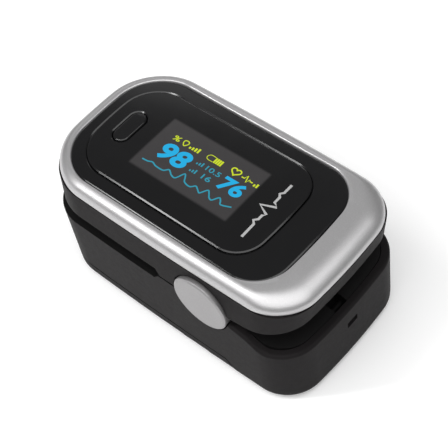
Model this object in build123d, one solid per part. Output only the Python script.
from build123d import *
from math import asin, degrees, radians, tan
import os

# Fingertip pulse oximeter: a sprung two-jaw clip with a screen on top, two AAA cells below and a
# sliding battery door. Millimetres. X runs along the finger (the finger enters at -X, the squeeze
# end is +X), Y is the width, Z is up, and z = 0 is the surface that the device rests on.

# ---- driving dimensions -------------------------------------------------------------------------
LENGTH = 60.0
WIDTH = 34.0
WALL = 1.5                      # moulded shell wall
FIT = 0.12                      # gap between parts that are slid together and then stay
RUN = 0.25                      # gap round parts that move
CLEAR = 0.05                    # smallest gap left between stacked pieces
FRONT_RADIUS = 11.2             # plan corners at the finger end
LOWER_FRONT_RADIUS = 9.0        # the same corners on the lower jaw
BACK_RADIUS = 7.8               # plan corners at the squeeze end
END_BOW = 1.0                   # how far the two ends bulge
SIDE_BOW = 0.4                  # how far the two long sides bulge
BASE_FILLET = 2.3

PIVOT_FROM_FRONT = 40.5         # finger end to hinge axis
RIM_DROP = 1.5                  # lower rim below the hinge axis, finger side
RIM_RISE = 1.6                  # upper rim above the hinge axis, finger side
HINGE_STEP_X = 10.5             # where both rims step together, ahead of the axis
HINGE_SEAM = 0.2                # half of the thin seam beside the hinge
LOWER_STEP_RUN = 1.2            # length of the lower rim's step
UPPER_STEP_RUN = 1.0            # length of the upper rim's step
UPPER_STEP_SHIFT = 0.6          # upper step behind the lower one
RIM_GAP = 0.2                   # inner covers set back from the shells' rims
LOWER_WEDGE_ANGLE = 13.5        # slope of the lower rim behind the hinge
UPPER_WEDGE_ANGLE = 7.0         # slope of the upper rim behind the hinge
RIM_BEND = 9.5                  # hinge axis to the steeper run of the lower rim
RIM_BEND_RUN = 3.6              # length of that run
RIM_BEND_FILLET = 4.0
RIM_END_DROP = 4.3              # lower rim below the axis at the squeeze end
END_TAPER = 1.3                 # how far the upper jaw's back wall leans in

FLOOR = 1.4
CELL_DIAMETER = 10.5
CELL_LENGTH = 44.5
CELL_TIP = 1.0                  # height of the positive button
CELL_TIP_RADIUS = 2.4
CELL_GAP = 0.3
CELL_BETWEEN = 0.7              # gap between the two cells
CELL_SPACING = CELL_DIAMETER + CELL_BETWEEN
CELL_FILLET = 0.4
SPRING_SPACE = 2.5              # length of a pressed contact spring
BAY_FRONT = 4.0                 # finger end to the inside of the battery bay
BAY_WALL = 1.0
CONTACT_THICKNESS = 0.4
CONTACT_INSET = 1.25            # cell's side to the edge of its square contact plate
CONTACT_SIZE = CELL_DIAMETER - 2 * CONTACT_INSET
CONTACT_COIL_RADIUS = 3.2
CONTACT_WIRE = 0.25             # wire radius
CONTACT_TURNS = 3

FINGER_RADIUS = 9.5
PAD = 1.0
COVER_SKIN = 0.7
LOWER_GROOVE = 4.8              # lower groove below the hinge axis
CAP_ABOVE_GROOVE = 2.9          # hinge cap above the upper groove
FINGER_DEPTH = 34.0             # finger end to fingertip stop
FLANGE = 0.8
FLANGE_MARGIN = 0.8             # shell wall to pad flange
FLANGE_END = 0.4                # flange beyond the fingertip stop
MOUTH_FLARE = 0.6
PAD_INSET = 0.3                 # pad behind the lower jaw's front outline
UPPER_PAD_INSET = 0.5
COVER_SLOPE_START = 6.2         # hinge axis to the slope of the lower cover
COVER_SLOPE = 0.26              # fall of the cover beyond the shell, per millimetre
COVER_SKIRT = 4.0               # cover below the bay's ceiling behind the battery bay
UPPER_COVER_LEVEL = 5.0         # hinge axis to the slope of the upper cover
UPPER_COVER_RISE = 1.0          # sloping cover above the upper rim
CAVITY_FRONT = 14.5             # finger end to the moulding cavities beside the pad
CAVITY_END = 27.5
CAVITY_BACK = 9.0               # length of the cavities behind the hinge
CAVITY_WALL = 1.4
CAVITY_ROOF = 1.2
CAVITY_SIDE = 0.6               # groove to cavity

BOARD_GAP = 0.5
BOARD = 1.0
BOARD_LENGTH = 45.0
BOARD_WIDTH = 22.0
BOARD_CORNER = 4.0
BOARD_FROM_FRONT = 4.6
BOARD_SCREW_INSET = 2.4         # board edge to screw axis
BOARD_POST_RADIUS = 1.5
BOARD_BITE = 1.6                # depth of a board screw in its post
CHIP_FROM_DISPLAY = 1.6
BOARD_CHIP_HEIGHT = 0.9
BOARD_CHIPS = [(2.5, 5.2, 4.4, 4.4), (2.2, -4.6, 3.0, 4.0), (2.6, 0.0, 2.0, 1.6)]
DISPLAY_GAP = 0.6
DISPLAY_GLASS = 1.45
DISPLAY_LENGTH = 26.7
DISPLAY_WIDTH = 19.26
DISPLAY_CENTRE_FROM_FRONT = 27.0
FRAME_WALL = 1.0
FRAME_LEDGE = 2.0
DISPLAY_FLEX_WIDTH = 10.0
DISPLAY_FLEX_INSET = 8.9        # display edge to its ribbon
WINDOW_LENGTH = 22.8
WINDOW_WIDTH = 12.3
FACE_FLOOR = 0.4
FACE_RIM = 1.0
LENS_PROUD = 0.2
FACE_DROP = 0.4                 # face below the top of the ring
FACE_FRONT_MARGIN = 2.9         # ring width at the finger end
FACE_BACK_MARGIN = 6.7          # ring width at the squeeze end
FACE_SIDE_MARGIN = 2.6
RING_INSET = 0.7                # ring narrower than the lower shell, each side
RING_WIDTH = WIDTH - 2 * RING_INSET
RING_HEIGHT = 2.8
RING_FILLET = 2.2
LENS_FRONT_MARGIN = 2.3
LENS_BACK_MARGIN = 6.2
LENS_SIDE_MARGIN = 2.6
LENS_GROOVE = 0.15
PLATE_BOW = 0.8                 # bulge of the ends of the face and its lens
FACE_FRONT_RADIUS = 9.0
FACE_BACK_RADIUS = 7.0
LENS_FRONT_RADIUS = 7.5
LENS_BACK_RADIUS = 6.0

BUTTON_FROM_FRONT = 10.1
BUTTON_LENGTH = 7.6
BUTTON_WIDTH = 3.4
BUTTON_TRAVEL = 0.4
BUTTON_GAP = 0.2
BUTTON_SKIRT = 0.5
BUTTON_SKIRT_REACH = 0.8
BUTTON_PROUD = 0.1
BUTTON_FILLET = 0.35
PLUNGER_RADIUS = 1.0
PLUNGER_GAP = 0.15
PLUNGER_CLEAR = 0.1
SWITCH_SIZE = 4.5
SWITCH_HEIGHT = 0.9

CAP_RADIUS = 5.9
CAP_PROUD = 0.4
CAP_CHAMFER = 0.35
PIN_RADIUS = 1.2
LUG_RADIUS = 3.2
LUG_THICKNESS = 2.0
LUG_GAP = 0.35
LUG_INSET = 0.5                 # shell's inner face to the outer lug
LUG_ROOM = 1.0                  # clear space beyond a lug's round end
LUG_ROOF = 0.6
SPRING_RADIUS = 2.2
SPRING_WIRE = 0.7
SPRING_TURNS = 5
SPRING_PITCH = 0.85
SPRING_LEG = 3.8
SPRING_END = 3.2                # inner lug to the middle of the coil

SEAM_Z = 3.8                    # height of the battery door's side walls
SEAM_GAP = 0.2
DOOR_END_FROM_FRONT = 45.6
DOOR_CORNER = 1.8
RAIL_HEIGHT = 0.8
RAIL_Z = 2.3
RAIL_REACH = 0.6
RAIL_START = 15.0
RAIL_WIDTH = 1.0
RAIL_WEB = 3.0                  # height of the web that carries the rail
RAIL_LAP = 0.1
GRIP_START = 11.0               # finger end to the first grip groove
GRIP_PITCH = 1.6
GRIP_GROOVE = 0.8
GRIP_WIDTH = 10.0
GRIP_DEPTH = 0.4
GRIP_COUNT = 5

SLOT_LENGTH = 2.7
SLOT_HEIGHT = 1.4
SLOT_Z = 10.2
HOLE_LENGTH = 2.8
HOLE_WIDTH = 3.2
HOLE_OFFSET_Y = -0.9
BAR_RADIUS = 0.5
BAR_DEPTH = 2.2                 # bar below the rim

SCREW_RADIUS = 0.8
HEAD_RADIUS = 1.5
HEAD_HEIGHT = 0.8
BOSS_RADIUS = 1.8
BOSS_GAP = 0.3                  # boss above the battery door
BOSS_RIB = 1.2                  # thickness of the rib from boss to shell
SCREW_BITE = 4.0                # depth of a screw in a lower boss
UPPER_SCREW_BITE = 3.0
RECESS_LENGTH = 1.4             # cross recess in a screw head
RECESS_WIDTH = 0.35
SCREW_INSET = 3.7               # outer wall to screw axis
FRONT_SCREWS = 10.5             # finger end to the front pair of screws
REAR_SCREWS = 32.0
BOARD_SCREW_RADIUS = 0.6
BOARD_HEAD_RADIUS = 1.2
BOARD_HEAD = 0.6

SENSOR_FROM_FRONT = 22.0
SENSOR_WINDOW_LENGTH = 6.0
SENSOR_WINDOW_WIDTH = 4.4
SENSOR_CHIP = 3.0
CHIP_HEIGHT = 0.7
SENSOR_BOARD_LENGTH = 9.0
SENSOR_BOARD_WIDTH = 5.0
SENSOR_BOARD = 0.5
FLEX_WIDTH = 3.0
FLEX = 0.2
FLEX_FROM_LUG = 1.5             # front of the lugs to the ribbon
FLEX_ROOM = 0.5
CONNECTOR_FRONT = 1.0
CONNECTOR_BACK = 1.2
CONNECTOR_HALF_WIDTH = 2.6
CONNECTOR_HEIGHT = 0.7

# ---- places worked out from the sizes -----------------------------------------------------------
FRONT_X = -LENGTH / 2
BACK_X = LENGTH / 2
HALF = WIDTH / 2
PIVOT_X = FRONT_X + PIVOT_FROM_FRONT
CELL_Z = FLOOR + CELL_GAP + CELL_DIAMETER / 2
BAY_CEILING = FLOOR + CELL_DIAMETER + 2 * CELL_GAP
LOWER_GROOVE_Z = BAY_CEILING + COVER_SKIN + PAD
PIVOT_Z = LOWER_GROOVE_Z + LOWER_GROOVE
UPPER_GROOVE_Z = PIVOT_Z + CAP_RADIUS - CAP_ABOVE_GROOVE
LOWER_RIM_Z = PIVOT_Z - RIM_DROP
UPPER_RIM_Z = PIVOT_Z + RIM_RISE
RIM_END_Z = PIVOT_Z - RIM_END_DROP
LOWER_PLATE_Z = LOWER_RIM_Z - RIM_GAP
UPPER_PLATE_Z = UPPER_RIM_Z + RIM_GAP
BOARD_Z = UPPER_GROOVE_Z + PAD + COVER_SKIN + BOARD_GAP
DISPLAY_Z = BOARD_Z + BOARD + DISPLAY_GAP
FACE_Z = DISPLAY_Z + DISPLAY_GLASS + CLEAR
FACE_TOP = FACE_Z + FACE_FLOOR + FACE_RIM
RING_TOP = FACE_TOP + FACE_DROP
RING_Z = RING_TOP - RING_HEIGHT
STOP_X = FRONT_X + FINGER_DEPTH
SENSOR_X = FRONT_X + SENSOR_FROM_FRONT
BUTTON_X = FRONT_X + BUTTON_FROM_FRONT
DISPLAY_X = FRONT_X + DISPLAY_CENTRE_FROM_FRONT
BOARD_X = FRONT_X + BOARD_FROM_FRONT + BOARD_LENGTH / 2
DOOR_END_X = FRONT_X + DOOR_END_FROM_FRONT
BAY_X0 = FRONT_X + BAY_FRONT
BAY_X1 = BAY_X0 + CELL_LENGTH + SPRING_SPACE + 2 * CONTACT_THICKNESS
BAY_HALF = CELL_SPACING / 2 + CELL_DIAMETER / 2 + CELL_GAP
SCREW_Y = HALF - SCREW_INSET
LUG_OUTER_Y = HALF - WALL - LUG_INSET
UPPER_LUG_Y = LUG_OUTER_Y - LUG_THICKNESS - LUG_GAP
SPRING_ZONE_Y = UPPER_LUG_Y - LUG_THICKNESS - LUG_GAP
BEYOND = LENGTH + WIDTH
LED_WINDOW_TOP = UPPER_GROOVE_Z + PAD + FIT
BOSS_Z = UPPER_PLATE_Z + FLANGE + HEAD_HEIGHT + COVER_SKIN  # bottom of the upper shell's bosses
SCREW_XS = (FRONT_X + FRONT_SCREWS, FRONT_X + REAR_SCREWS)
BOARD_SCREW_REACH = BOARD_LENGTH / 2 - BOARD_SCREW_INSET
BOARD_SCREW_XS = (BOARD_X - BOARD_SCREW_REACH, BOARD_X + BOARD_SCREW_REACH)
BOARD_SCREW_Y = BOARD_WIDTH / 2 - BOARD_SCREW_INSET
FLEX_X = PIVOT_X - LUG_RADIUS + FLEX_FROM_LUG
HOLE_X = BACK_X - WALL - FIT


# ---- shape helpers ------------------------------------------------------------------------------
def outline(z, width=WIDTH, inset=0.0, front=FRONT_X, back=BACK_X, front_radius=FRONT_RADIUS):
    """Plan outline with four bowed sides and rounder corners at the finger end."""
    x0 = front + inset
    x1 = back - inset
    w = width / 2 - inset
    mid = (x0 + x1) / 2
    near_front = (x0 + END_BOW, -w + SIDE_BOW)
    near_back = (x1 - END_BOW, -w + SIDE_BOW)
    far_back = (x1 - END_BOW, w - SIDE_BOW)
    far_front = (x0 + END_BOW, w - SIDE_BOW)
    sides = [
        ThreePointArc(near_front, (mid, -w), near_back),
        ThreePointArc(near_back, (x1, 0), far_back),
        ThreePointArc(far_back, (mid, w), far_front),
        ThreePointArc(far_front, (x0, 0), near_front),
    ]
    face = make_face(sides)
    face = fillet(face.vertices().group_by(Axis.X)[-1], BACK_RADIUS - inset)
    face = fillet(face.vertices().group_by(Axis.X)[0], front_radius - inset)
    return Pos(0, 0, z) * face


def block(x0, x1, y0, y1, z0, z1):
    """Box given by its two corners."""
    centre = Pos((x0 + x1) / 2, (y0 + y1) / 2, (z0 + z1) / 2)
    return centre * Box(x1 - x0, y1 - y0, z1 - z0)


def side_prism(points, radii=None):
    """Side-view polygon of (x, z) points, right across the width. radii maps point number to fillet."""
    face = make_face(Polyline(*[(x, 0, z) for x, z in points], close=True))
    for number, radius in (radii or {}).items():
        x, z = points[number]
        corner = face.vertices().sort_by_distance((x, 0, z))[0]
        face = fillet(corner, radius)
    return extrude(face, BEYOND, dir=(0, 1, 0), both=True)


def across(x, z, radius, y0, y1):
    """Cylinder along Y."""
    return Pos(x, (y0 + y1) / 2, z) * Rot(90, 0, 0) * Cylinder(radius, y1 - y0)


def along(y, z, radius, x0, x1):
    """Cylinder along X."""
    return Pos((x0 + x1) / 2, y, z) * Rot(0, 90, 0) * Cylinder(radius, x1 - x0)


def upright(x, y, radius, z0, z1):
    """Cylinder along Z."""
    return Pos(x, y, (z0 + z1) / 2) * Cylinder(radius, z1 - z0)


def both_sides(shape):
    """The shape and its mirror image across the middle."""
    return shape + mirror(shape, Plane.XZ)


def pill(x, length, width, z0, z1):
    """Upright pill whose long way runs across the width."""
    return extrude(Pos(x, 0, z0) * Rot(0, 0, 90) * SlotOverall(length, width), z1 - z0)


# ---- rim lines ----------------------------------------------------------------------------------
def lower_rim_line():
    """Top edge of the lower jaw, from the finger end to the squeeze end, as (x, z) points."""
    step = PIVOT_X - HINGE_STEP_X
    slope = tan(radians(LOWER_WEDGE_ANGLE))
    bend = PIVOT_X + RIM_BEND
    return [
        (-BEYOND, LOWER_RIM_Z),
        (step - LOWER_STEP_RUN / 2, LOWER_RIM_Z),
        (step + LOWER_STEP_RUN / 2, PIVOT_Z - HINGE_SEAM),
        (PIVOT_X, PIVOT_Z - HINGE_SEAM),
        (bend, PIVOT_Z - RIM_BEND * slope),
        (bend + RIM_BEND_RUN, RIM_END_Z),
        (BEYOND, RIM_END_Z),
    ]


def upper_rim_line():
    """Bottom edge of the upper jaw as (x, z) points."""
    step = PIVOT_X - HINGE_STEP_X + UPPER_STEP_SHIFT
    slope = tan(radians(UPPER_WEDGE_ANGLE))
    return [
        (-BEYOND, UPPER_RIM_Z),
        (step - UPPER_STEP_RUN / 2, UPPER_RIM_Z),
        (step + UPPER_STEP_RUN / 2, PIVOT_Z + HINGE_SEAM),
        (PIVOT_X, PIVOT_Z + HINGE_SEAM),
        (BEYOND, PIVOT_Z + HINGE_SEAM + (BEYOND - PIVOT_X) * slope),
    ]


def below_lower_rim():
    points = lower_rim_line() + [(BEYOND, -BEYOND), (-BEYOND, -BEYOND)]
    return side_prism(points, {4: RIM_BEND_FILLET, 5: RIM_BEND_FILLET})


def above_upper_rim():
    points = upper_rim_line() + [(BEYOND, BEYOND), (-BEYOND, BEYOND)]
    return side_prism(points)


# ---- finger space -------------------------------------------------------------------------------
def lower_groove(extra, x1):
    """Round groove that the finger lies in, grown by extra."""
    z = LOWER_GROOVE_Z + FINGER_RADIUS
    return along(0, z, FINGER_RADIUS + extra, FRONT_X - PAD, x1)


def upper_groove(extra, x1):
    z = UPPER_GROOVE_Z - FINGER_RADIUS
    return along(0, z, FINGER_RADIUS + extra, FRONT_X - PAD, x1)


def mouth_flare(z):
    """Cone that eases the mouth of a groove."""
    depth = 3 * MOUTH_FLARE
    cone = Cone(FINGER_RADIUS + MOUTH_FLARE, FINGER_RADIUS, depth)
    return Pos(FRONT_X + depth / 2, 0, z) * Rot(0, 90, 0) * cone


def cap_space(radius, y0):
    """Room for both hinge caps."""
    return both_sides(across(PIVOT_X, PIVOT_Z, radius, y0, BEYOND))


# ---- lower jaw ----------------------------------------------------------------------------------
def lower_block(inset, z0=0.0):
    return extrude(outline(z0, inset=inset, front_radius=LOWER_FRONT_RADIUS), RING_TOP)


def door_region(gap):
    """Side view of the battery door, grown by gap."""
    back = DOOR_END_X + gap
    points = [
        (-BEYOND, -BEYOND),
        (-BEYOND, SEAM_Z + gap),
        (back - DOOR_CORNER, SEAM_Z + gap),
        (back, SEAM_Z + gap - DOOR_CORNER),
        (back, -BEYOND),
    ]
    return side_prism(points)


def lower_outside():
    body = lower_block(0.0)
    return fillet(body.edges().group_by(Axis.Z)[0], BASE_FILLET)


def rail_line(y0, y1, z0, z1, x1):
    """Straight strip beside the battery bay, on both sides."""
    return both_sides(block(FRONT_X + RAIL_START, x1, y0, y1, z0, z1))


def make_lower_housing():
    outside = lower_outside()
    body = outside - lower_block(WALL, FLOOR)
    body -= door_region(SEAM_GAP)
    room = lower_block(WALL, FLOOR)
    above_door = SEAM_Z + SEAM_GAP
    bay_outer = BAY_HALF + BAY_WALL
    bay = block(BAY_X0 - BAY_WALL, BAY_X1 + BAY_WALL, -bay_outer, bay_outer, FLOOR + CELL_GAP, BAY_CEILING)
    bay += block(BAY_X0 - BAY_WALL, BAY_X0, -HALF, HALF, above_door, BAY_CEILING)
    bay += block(BAY_X1, BAY_X1 + BAY_WALL, -HALF, HALF, FLOOR, BAY_CEILING)
    for x in SCREW_XS:
        boss = upright(x, SCREW_Y, BOSS_RADIUS, above_door + BOSS_GAP, BAY_CEILING)
        boss += block(x - BOSS_RIB / 2, x + BOSS_RIB / 2, SCREW_Y, HALF, above_door + BOSS_GAP, BAY_CEILING)
        bay += both_sides(boss)
    bay -= block(BAY_X0, BAY_X1, -BAY_HALF, BAY_HALF, 0, BAY_CEILING)
    for x in SCREW_XS:
        bay -= both_sides(upright(x, SCREW_Y, SCREW_RADIUS, BAY_CEILING - SCREW_BITE, BAY_CEILING))
    rail_y = HALF - WALL - 2 * SIDE_BOW
    rail_end = DOOR_END_X - 2 * DOOR_CORNER
    web_y = rail_y - RAIL_WIDTH
    rails = rail_line(web_y, HALF - WALL + RAIL_LAP, above_door, above_door + RAIL_WEB, rail_end)
    rails += rail_line(web_y, rail_y, FLOOR + CELL_GAP, above_door + RAIL_LAP, rail_end)
    tip_y = HALF - WALL + RAIL_REACH - RUN
    rails += rail_line(rail_y - RAIL_LAP, tip_y, RAIL_Z, RAIL_Z + RAIL_HEIGHT, rail_end)
    body += (bay & room) + rails
    body &= below_lower_rim()
    body -= cap_space(CAP_RADIUS + RUN, LUG_OUTER_Y)
    body -= lower_groove(PAD, FRONT_X + FRONT_RADIUS)
    slot_y = SLOT_LENGTH / 2
    body -= block(BACK_X - 2 * WALL, BACK_X + WALL, -slot_y, slot_y, SLOT_Z - SLOT_HEIGHT / 2,
                  SLOT_Z + SLOT_HEIGHT / 2)
    return body


def make_battery_door():
    body = lower_outside() & door_region(0.0)
    body -= lower_block(WALL, FLOOR)
    groove_y = HALF - WALL - SIDE_BOW
    body -= rail_line(groove_y, HALF - WALL + RAIL_REACH, RAIL_Z - RUN, RAIL_Z + RAIL_HEIGHT + RUN, BEYOND)
    for number in range(GRIP_COUNT):
        x = FRONT_X + GRIP_START + GRIP_PITCH * number
        body -= block(x, x + GRIP_GROOVE, -GRIP_WIDTH / 2, GRIP_WIDTH / 2, -GRIP_DEPTH, GRIP_DEPTH)
    return body


def lower_cover_profile():
    """Side view of the inner cover: level over the battery bay, then sloping to the back rim."""
    back = BACK_X - WALL
    behind_bay = BAY_X1 + BAY_WALL + FIT
    points = [
        (-BEYOND, BAY_CEILING),
        (-BEYOND, LOWER_PLATE_Z),
        (PIVOT_X + COVER_SLOPE_START, LOWER_PLATE_Z),
        (back, RIM_END_Z - RIM_GAP),
        (BEYOND, RIM_END_Z - RIM_GAP - COVER_SLOPE * (BEYOND - back)),
        (BEYOND, BAY_CEILING - COVER_SKIRT),
        (behind_bay, BAY_CEILING - COVER_SKIRT),
        (behind_bay, BAY_CEILING),
    ]
    return side_prism(points)


def hinge_slots(y0, y1, z0, z1):
    """Straight-walled room round the hinge axis, on both sides."""
    reach = LUG_RADIUS + LUG_ROOM
    return both_sides(block(PIVOT_X - reach, PIVOT_X + reach, y0, y1, z0, z1))


def lug(y1, z_far):
    """Pair of hinge lugs whose outer faces are at y1, joined to the cover at z_far."""
    y0 = y1 - LUG_THICKNESS
    low = min(PIVOT_Z, z_far)
    high = max(PIVOT_Z, z_far)
    body = across(PIVOT_X, PIVOT_Z, LUG_RADIUS, y0, y1)
    body += block(PIVOT_X - LUG_RADIUS, PIVOT_X + LUG_RADIUS, y0, y1, low, high)
    return both_sides(body)


def make_lower_inner_cover():
    body = lower_block(WALL + FIT) & lower_cover_profile()
    body -= lower_groove(PAD, STOP_X + PAD)
    body -= flange_space(LOWER_PLATE_Z - FLANGE, LOWER_RIM_Z + PAD)
    cavity_y0 = FINGER_RADIUS + CAVITY_SIDE
    cavity_y1 = HALF - WALL - CAVITY_WALL
    cavity_top = LOWER_PLATE_Z - FLANGE - CAVITY_ROOF
    front = FRONT_X + CAVITY_FRONT
    body -= both_sides(block(front, FRONT_X + CAVITY_END, cavity_y0, cavity_y1, 0, cavity_top))
    back = BAY_X1 - CAVITY_BACK
    body -= both_sides(block(back, BAY_X1, cavity_y0, cavity_y1, 0, BAY_CEILING + CAVITY_ROOF))
    body -= hinge_slots(-1, LUG_OUTER_Y + FIT, BAY_CEILING + COVER_SKIN + CAVITY_ROOF, RING_TOP)
    body += lug(LUG_OUTER_Y, BAY_CEILING + COVER_SKIN)
    body -= across(PIVOT_X, PIVOT_Z, PIN_RADIUS, -HALF, HALF)
    body -= cap_space(CAP_RADIUS + RUN, LUG_OUTER_Y)
    head_z = LOWER_PLATE_Z - FLANGE - HEAD_HEIGHT
    for x in SCREW_XS:
        body -= both_sides(upright(x, SCREW_Y, SCREW_RADIUS, 0, RING_TOP))
        body -= both_sides(upright(x, SCREW_Y, HEAD_RADIUS, head_z, RING_TOP))
    body -= window_block(0, PIVOT_Z)
    flex_y = FLEX_WIDTH / 2 + FIT
    body -= block(FLEX_X - FIT, FLEX_X + FLEX + FIT, -flex_y, flex_y, 0, PIVOT_Z)
    hole_y = HOLE_OFFSET_Y - HOLE_WIDTH / 2
    body -= block(HOLE_X - HOLE_LENGTH, HOLE_X, hole_y, hole_y + HOLE_WIDTH, 0, RING_TOP)
    body -= block(HOLE_X - HOLE_LENGTH, BACK_X, -SLOT_LENGTH / 2, SLOT_LENGTH / 2, 0, SLOT_Z + SLOT_HEIGHT)
    return body


def flange_space(z0, z1):
    """Plan shape of a pad's flange between two heights."""
    body = extrude(outline(z0, inset=WALL + FLANGE_MARGIN), z1 - z0)
    return body & block(FRONT_X, STOP_X + PAD + FLANGE_END, -HALF, HALF, z0, z1)


def make_lower_finger_pad():
    body = lower_groove(PAD, STOP_X + PAD) & extrude(outline(0, inset=PAD_INSET), LOWER_PLATE_Z)
    body += flange_space(LOWER_PLATE_Z - FLANGE, LOWER_PLATE_Z)
    body -= lower_groove(0.0, STOP_X)
    body -= mouth_flare(LOWER_GROOVE_Z + FINGER_RADIUS)
    return body - window_block(0, PIVOT_Z)


def window_block(z0, z1):
    x = SENSOR_WINDOW_LENGTH / 2
    y = SENSOR_WINDOW_WIDTH / 2
    return block(SENSOR_X - x, SENSOR_X + x, -y, y, z0, z1)


def make_sensor_window():
    body = window_block(BAY_CEILING + CHIP_HEIGHT, PIVOT_Z)
    return body - lower_groove(0.0, STOP_X)


def make_photodiode():
    return Pos(SENSOR_X, 0, BAY_CEILING + CHIP_HEIGHT / 2) * Box(SENSOR_CHIP, SENSOR_CHIP, CHIP_HEIGHT)


def make_sensor_board():
    z = BAY_CEILING - SENSOR_BOARD / 2
    return Pos(SENSOR_X, 0, z) * Box(SENSOR_BOARD_LENGTH, SENSOR_BOARD_WIDTH, SENSOR_BOARD)


def cell(side, x_minus, direction):
    """AAA cell on the given side, with its flat end at x_minus and its tip in the given direction."""
    y = side * CELL_SPACING / 2
    can_end = x_minus + direction * (CELL_LENGTH - CELL_TIP)
    tip_end = x_minus + direction * CELL_LENGTH
    body = along(y, CELL_Z, CELL_DIAMETER / 2, min(x_minus, can_end), max(x_minus, can_end))
    body = fillet(body.edges().filter_by(GeomType.CIRCLE), CELL_FILLET)
    return body + along(y, CELL_Z, CELL_TIP_RADIUS, min(can_end, tip_end), max(can_end, tip_end))


def contact_spring(side, x_seat, direction):
    """Coil spring between a contact plate, at x_seat, and a cell's flat end."""
    height = SPRING_SPACE - 2 * CONTACT_WIRE
    path = Helix(pitch=height / CONTACT_TURNS, height=height, radius=CONTACT_COIL_RADIUS)
    profile = Plane(origin=path @ 0, z_dir=path % 0) * Circle(CONTACT_WIRE)
    coil = sweep(profile, path=path)
    y = side * CELL_SPACING / 2
    return Pos(x_seat + direction * CONTACT_WIRE, y, CELL_Z) * Rot(0, 90 * direction, 0) * coil


def make_contact_plates():
    half = CONTACT_SIZE / 2
    plates = []
    for y in (-CELL_SPACING / 2, CELL_SPACING / 2):
        for x in (BAY_X0, BAY_X1 - CONTACT_THICKNESS):
            plates.append(block(x, x + CONTACT_THICKNESS, y - half, y + half, CELL_Z - half, CELL_Z + half))
    return Compound(plates)


def make_hinge_pin():
    return across(PIVOT_X, PIVOT_Z, PIN_RADIUS, -LUG_OUTER_Y, LUG_OUTER_Y)


def torsion_spring(side):
    """Coil round the hinge pin, with a leg against each jaw on the finger side of the axis."""
    height = SPRING_TURNS * SPRING_PITCH
    path = Helix(pitch=SPRING_PITCH, height=height, radius=SPRING_RADIUS)
    profile = Plane(origin=path @ 0, z_dir=path % 0) * Circle(SPRING_WIRE / 2)
    coil = Rot(90, 0, 0) * sweep(profile, path=path)
    reach = LUG_RADIUS + LUG_ROOM - SPRING_RADIUS - SPRING_WIRE / 2 - FIT
    tilt = degrees(asin(reach / SPRING_LEG))
    leg = Pos(0, 0, SPRING_LEG / 2) * Cylinder(SPRING_WIRE / 2, SPRING_LEG)
    upper_leg = Pos(-SPRING_RADIUS, 0, 0) * Rot(0, -tilt, 0) * leg
    lower_leg = Pos(-SPRING_RADIUS, -height, 0) * Rot(0, tilt - 180, 0) * leg
    y = side * (SPRING_ZONE_Y - SPRING_END) + height / 2
    return Pos(PIVOT_X, y, PIVOT_Z) * Compound([coil, upper_leg, lower_leg])


def make_hinge_cap(side):
    y1 = HALF + CAP_PROUD
    body = across(PIVOT_X, PIVOT_Z, CAP_RADIUS, LUG_OUTER_Y, y1)
    body = chamfer(body.edges().group_by(Axis.Y)[-1], CAP_CHAMFER)
    return body if side > 0 else mirror(body, Plane.XZ)


def make_lanyard_bar():
    x = HOLE_X - HOLE_LENGTH / 2
    y = HOLE_OFFSET_Y - HOLE_WIDTH / 2
    return across(x, RIM_END_Z - BAR_DEPTH, BAR_RADIUS, y, y + HOLE_WIDTH)


def screws(y, radius, head_radius, head, shank_z, head_z, xs):
    """Screws whose shanks start at shank_z and whose heads lie beyond head_z."""
    bodies = []
    toward = 1 if head_z > shank_z else -1
    for x in xs:
        for side in (-1, 1):
            shank = upright(x, side * y, radius, min(shank_z, head_z), max(shank_z, head_z))
            end = head_z + toward * head
            top = upright(x, side * y, head_radius, min(head_z, end), max(head_z, end))
            cross = Box(RECESS_LENGTH, RECESS_WIDTH, head) + Box(RECESS_WIDTH, RECESS_LENGTH, head)
            bodies.append(shank + top - Pos(x, side * y, end) * cross)
    return Compound(bodies)


def make_lower_cover_screws():
    head_z = LOWER_PLATE_Z - FLANGE - HEAD_HEIGHT
    tip_z = BAY_CEILING - SCREW_BITE
    return screws(SCREW_Y, SCREW_RADIUS, HEAD_RADIUS, HEAD_HEIGHT, tip_z, head_z, SCREW_XS)


def make_sensor_flex_lower():
    """Ribbon from the sensor board, back along the bay's ceiling and up beside the hinge."""
    y = FLEX_WIDTH / 2
    x0 = SENSOR_X + SENSOR_BOARD_LENGTH / 2
    x1 = FLEX_X + FLEX
    run = block(x0, x1, -y, y, BAY_CEILING - FLEX, BAY_CEILING)
    return run + block(FLEX_X, x1, -y, y, BAY_CEILING - FLEX, PIVOT_Z - LUG_RADIUS)


# ---- upper jaw ----------------------------------------------------------------------------------
def upper_block(inset):
    """Tapered body of the upper jaw, from the hinge height to the ring."""
    bottom = outline(PIVOT_Z, WIDTH, inset, FRONT_X, BACK_X - END_TAPER)
    top = outline(RING_Z, RING_WIDTH, inset, FRONT_X, BACK_X)
    return loft([bottom, top], ruled=True)


def make_upper_housing():
    body = upper_block(0.0) - upper_block(WALL)
    for x in SCREW_XS:
        boss = upright(x, SCREW_Y, BOSS_RADIUS, BOSS_Z, RING_Z)
        boss += block(x - BOSS_RIB / 2, x + BOSS_RIB / 2, SCREW_Y, (RING_WIDTH - WALL) / 2, BOSS_Z, RING_Z)
        boss -= upright(x, SCREW_Y, SCREW_RADIUS, BOSS_Z, BOSS_Z + UPPER_SCREW_BITE)
        body += both_sides(boss)
    body &= above_upper_rim()
    body -= cap_space(CAP_RADIUS + RUN, LUG_OUTER_Y)
    body -= upper_groove(PAD, FRONT_X + FRONT_RADIUS)
    return body


def make_bezel_ring():
    body = extrude(outline(RING_Z, RING_WIDTH), RING_HEIGHT)
    body = fillet(body.edges().group_by(Axis.Z)[-1], RING_FILLET)
    return body - face_outline(RING_Z, RING_HEIGHT, -CLEAR)


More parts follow.
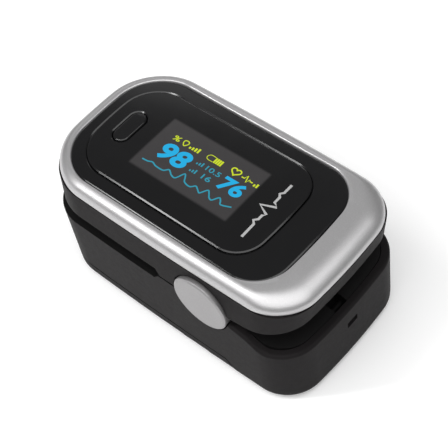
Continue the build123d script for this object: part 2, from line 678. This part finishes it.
def face_outline(z, height, inset):
    front = FRONT_X + FACE_FRONT_MARGIN + inset
    back = BACK_X - FACE_BACK_MARGIN - inset
    width = RING_WIDTH - 2 * FACE_SIDE_MARGIN - 2 * inset
    return plate(z, height, front, back, width, FACE_FRONT_RADIUS - inset, FACE_BACK_RADIUS - inset)


def lens_outline(z, height, inset):
    front = FRONT_X + FACE_FRONT_MARGIN + LENS_FRONT_MARGIN + inset
    back = BACK_X - FACE_BACK_MARGIN - LENS_BACK_MARGIN - inset
    width = RING_WIDTH - 2 * FACE_SIDE_MARGIN - 2 * LENS_SIDE_MARGIN - 2 * inset
    return plate(z, height, front, back, width, LENS_FRONT_RADIUS - inset, LENS_BACK_RADIUS - inset)


def plate(z, height, front, back, width, front_radius, back_radius):
    """Thin plate with bowed ends and a rounder finger end."""
    w = width / 2
    x0 = front + PLATE_BOW
    x1 = back - PLATE_BOW
    sides = [
        Line((x0, -w), (x1, -w)),
        ThreePointArc((x1, -w), (back, 0), (x1, w)),
        Line((x1, w), (x0, w)),
        ThreePointArc((x0, w), (front, 0), (x0, -w)),
    ]
    face = make_face(sides)
    face = fillet(face.vertices().group_by(Axis.X)[-1], back_radius)
    face = fillet(face.vertices().group_by(Axis.X)[0], front_radius)
    return extrude(Pos(0, 0, z) * face, height)


def screen_window(z0, z1):
    x = WINDOW_LENGTH / 2
    y = WINDOW_WIDTH / 2
    return block(DISPLAY_X - x, DISPLAY_X + x, -y, y, z0, z1)


def make_face_cover():
    body = face_outline(FACE_Z, FACE_FLOOR + FACE_RIM, 0.0)
    body -= lens_outline(FACE_Z + FACE_FLOOR, FACE_RIM, 0.0)
    body -= screen_window(FACE_Z, FACE_TOP)
    return body - button_shaft(BUTTON_GAP, FACE_Z, FACE_TOP)


def make_display_lens():
    body = lens_outline(FACE_Z + FACE_FLOOR, FACE_RIM + LENS_PROUD, LENS_GROOVE)
    return body - button_shaft(BUTTON_GAP, FACE_Z, RING_TOP)


def button_shaft(gap, z0, z1):
    return pill(BUTTON_X, BUTTON_LENGTH + 2 * gap, BUTTON_WIDTH + 2 * gap, z0, z1)


def make_power_button():
    skirt_top = FACE_Z - CLEAR
    skirt_z = skirt_top - BUTTON_SKIRT
    skirt = 2 * BUTTON_SKIRT_REACH
    body = button_shaft(0.0, skirt_z, FACE_TOP + LENS_PROUD + BUTTON_PROUD)
    body = fillet(body.edges().group_by(Axis.Z)[-1], BUTTON_FILLET)
    return body + pill(BUTTON_X, BUTTON_LENGTH + skirt, BUTTON_WIDTH + skirt, skirt_z, skirt_top)


def make_switch_plunger():
    top = FACE_Z - CLEAR - BUTTON_SKIRT
    return upright(BUTTON_X, 0, PLUNGER_RADIUS, BOARD_Z + BOARD + SWITCH_HEIGHT, top)


def make_switch_body():
    base = BOARD_Z + BOARD
    size = SWITCH_SIZE / 2
    body = block(BUTTON_X - size, BUTTON_X + size, -size, size, base, base + SWITCH_HEIGHT)
    well_z = base + SWITCH_HEIGHT - BUTTON_TRAVEL - PLUNGER_CLEAR
    return body - upright(BUTTON_X, 0, PLUNGER_RADIUS + PLUNGER_GAP, well_z, FACE_Z)


def make_display_module():
    z = DISPLAY_Z + DISPLAY_GLASS / 2
    return Pos(DISPLAY_X, 0, z) * Box(DISPLAY_LENGTH, DISPLAY_WIDTH, DISPLAY_GLASS)


def make_display_frame():
    """Open frame that holds the display module above the main board."""
    x = DISPLAY_LENGTH / 2
    y = DISPLAY_WIDTH / 2
    base = BOARD_Z + BOARD
    centre = Pos(DISPLAY_X, 0, 0)
    body = centre * block(-x - FRAME_WALL, x + FRAME_WALL, -y - FRAME_WALL, y + FRAME_WALL, base, FACE_Z)
    body -= centre * block(-x, x, -y, y, DISPLAY_Z, FACE_Z)
    x -= FRAME_LEDGE
    y -= FRAME_LEDGE
    return body - centre * block(-x, x, -y, y, base, DISPLAY_Z)


def make_display_flex():
    """Ribbon under the display module, down to the main board."""
    x = DISPLAY_X + DISPLAY_LENGTH / 2 - DISPLAY_FLEX_INSET
    y = DISPLAY_FLEX_WIDTH / 2
    return block(x, x + FLEX, -y, y, BOARD_Z + BOARD, DISPLAY_Z)


def board_outline(z, height):
    return extrude(Pos(BOARD_X, 0, z) * RectangleRounded(BOARD_LENGTH, BOARD_WIDTH, BOARD_CORNER), height)


def make_main_board():
    body = board_outline(BOARD_Z, BOARD)
    for x in BOARD_SCREW_XS:
        body -= both_sides(upright(x, BOARD_SCREW_Y, BOARD_SCREW_RADIUS, BOARD_Z, BOARD_Z + BOARD))
    return body


def make_board_chips():
    """Processor, amplifier, memory and regulator on top of the main board."""
    x = DISPLAY_X + DISPLAY_LENGTH / 2 + CHIP_FROM_DISPLAY
    z = BOARD_Z + BOARD + BOARD_CHIP_HEIGHT / 2
    chips = []
    for dx, y, length, width in BOARD_CHIPS:
        chips.append(Pos(x + dx, y, z) * Box(length, width, BOARD_CHIP_HEIGHT))
    return Compound(chips)


def make_flex_connector():
    y = CONNECTOR_HALF_WIDTH
    x0 = FLEX_X - CONNECTOR_FRONT
    return block(x0, FLEX_X + CONNECTOR_BACK, -y, y, BOARD_Z - CONNECTOR_HEIGHT, BOARD_Z)


def make_sensor_flex_upper():
    """Ribbon from the connector down to the hinge."""
    y = FLEX_WIDTH / 2
    return block(FLEX_X, FLEX_X + FLEX, -y, y, PIVOT_Z + LUG_RADIUS, BOARD_Z - CONNECTOR_HEIGHT)


def make_upper_inner_cover():
    plate_z = UPPER_PLATE_Z
    slope = tan(radians(UPPER_WEDGE_ANGLE))
    back_z = PIVOT_Z + UPPER_COVER_RISE + (BEYOND - PIVOT_X) * slope
    thickness = FLANGE + COVER_SKIN
    line = [(-BEYOND, plate_z), (PIVOT_X + UPPER_COVER_LEVEL, plate_z), (BEYOND, back_z)]
    top = [(x, z + thickness) for x, z in reversed(line)]
    inside = upper_block(WALL + FIT)
    body = inside & side_prism(line + top)
    body += inside & upper_groove(PAD + COVER_SKIN, STOP_X + PAD + COVER_SKIN) & above(plate_z)
    for x in SCREW_XS:
        body += both_sides(upright(x, SCREW_Y, BOSS_RADIUS, plate_z + FLANGE, BOSS_Z))
    for x in BOARD_SCREW_XS:
        body += both_sides(upright(x, BOARD_SCREW_Y, BOARD_POST_RADIUS, plate_z + FLANGE, BOARD_Z))
        body -= both_sides(upright(x, BOARD_SCREW_Y, BOARD_SCREW_RADIUS, BOARD_Z - BOARD_BITE, BOARD_Z))
    body -= flange_space(plate_z - PAD, plate_z + FLANGE)
    body -= upper_groove(PAD, STOP_X + PAD)
    for x in SCREW_XS:
        body -= both_sides(upright(x, SCREW_Y, SCREW_RADIUS, 0, BOSS_Z))
        body -= both_sides(upright(x, SCREW_Y, HEAD_RADIUS, 0, plate_z + FLANGE + HEAD_HEIGHT))
    body -= hinge_slots(-1, SPRING_ZONE_Y, 0, PIVOT_Z + LUG_RADIUS + LUG_ROOF)
    body -= hinge_slots(UPPER_LUG_Y, HALF, 0, PIVOT_Z + LUG_RADIUS + LUG_ROOM)
    body += lug(UPPER_LUG_Y, plate_z + thickness)
    body -= across(PIVOT_X, PIVOT_Z, PIN_RADIUS + CLEAR, -HALF, HALF)
    body -= cap_space(CAP_RADIUS + RUN, LUG_OUTER_Y - RUN)
    flex_y = FLEX_WIDTH / 2 + FLEX_ROOM
    body -= block(FLEX_X - FLEX_ROOM, FLEX_X + FLEX + FLEX_ROOM, -flex_y, flex_y, PIVOT_Z, BOARD_Z)
    led = SENSOR_CHIP / 2 + FIT
    body -= block(SENSOR_X - led, SENSOR_X + led, -led, led, PIVOT_Z, BOARD_Z)
    return body - window_block(PIVOT_Z, LED_WINDOW_TOP)


def above(z):
    return block(-BEYOND, BEYOND, -BEYOND, BEYOND, z, BEYOND)


def make_upper_finger_pad():
    body = upper_groove(PAD, STOP_X + PAD) & above(UPPER_PLATE_Z)
    body &= extrude(outline(0, RING_WIDTH, UPPER_PAD_INSET), RING_TOP)
    body += flange_space(UPPER_PLATE_Z, UPPER_PLATE_Z + FLANGE)
    body -= upper_groove(0.0, STOP_X)
    body -= mouth_flare(UPPER_GROOVE_Z - FINGER_RADIUS)
    return body - window_block(PIVOT_Z, RING_TOP)


def make_led_window():
    return window_block(PIVOT_Z, LED_WINDOW_TOP) - upper_groove(0.0, STOP_X)


def make_led_emitter():
    size = SENSOR_CHIP / 2
    return block(SENSOR_X - size, SENSOR_X + size, -size, size, LED_WINDOW_TOP, BOARD_Z)


def make_upper_cover_screws():
    head_z = UPPER_PLATE_Z + FLANGE + HEAD_HEIGHT
    tip_z = BOSS_Z + UPPER_SCREW_BITE
    return screws(SCREW_Y, SCREW_RADIUS, HEAD_RADIUS, HEAD_HEIGHT, tip_z, head_z, SCREW_XS)


def make_board_screws():
    top = BOARD_Z + BOARD
    tip = BOARD_Z - BOARD_BITE
    return screws(BOARD_SCREW_Y, BOARD_SCREW_RADIUS, BOARD_HEAD_RADIUS, BOARD_HEAD, tip, top, BOARD_SCREW_XS)


def make_parts():
    bay_left = BAY_X0 + CONTACT_THICKNESS
    bay_right = BAY_X1 - CONTACT_THICKNESS
    return {
        "lower_housing": make_lower_housing(),
        "battery_door": make_battery_door(),
        "lower_inner_cover": make_lower_inner_cover(),
        "lower_finger_pad": make_lower_finger_pad(),
        "sensor_window": make_sensor_window(),
        "photodiode": make_photodiode(),
        "sensor_board": make_sensor_board(),
        "battery_cell_near": cell(-1, bay_right - SPRING_SPACE, -1),
        "battery_cell_far": cell(1, bay_left + SPRING_SPACE, 1),
        "contact_spring_near": contact_spring(-1, bay_right, -1),
        "contact_spring_far": contact_spring(1, bay_left, 1),
        "contact_plates": make_contact_plates(),
        "hinge_pin": make_hinge_pin(),
        "torsion_spring_near": torsion_spring(-1),
        "torsion_spring_far": torsion_spring(1),
        "hinge_cap_near": make_hinge_cap(-1),
        "hinge_cap_far": make_hinge_cap(1),
        "lanyard_bar": make_lanyard_bar(),
        "lower_cover_screws": make_lower_cover_screws(),
        "sensor_flex_lower": make_sensor_flex_lower(),
        "upper_housing": make_upper_housing(),
        "bezel_ring": make_bezel_ring(),
        "face_cover": make_face_cover(),
        "display_lens": make_display_lens(),
        "power_button": make_power_button(),
        "switch_plunger": make_switch_plunger(),
        "switch_body": make_switch_body(),
        "display_module": make_display_module(),
        "display_frame": make_display_frame(),
        "display_flex": make_display_flex(),
        "main_board": make_main_board(),
        "board_chips": make_board_chips(),
        "flex_connector": make_flex_connector(),
        "sensor_flex_upper": make_sensor_flex_upper(),
        "upper_inner_cover": make_upper_inner_cover(),
        "upper_finger_pad": make_upper_finger_pad(),
        "led_window": make_led_window(),
        "led_emitter": make_led_emitter(),
        "upper_cover_screws": make_upper_cover_screws(),
        "board_screws": make_board_screws(),
    }


os.makedirs("parts", exist_ok=True)
for name, shape in make_parts().items():
    export_step(shape, f"parts/{name}.step")
print("hinge axis", round(PIVOT_X, 3), round(PIVOT_Z, 3), "height", round(RING_TOP, 3))
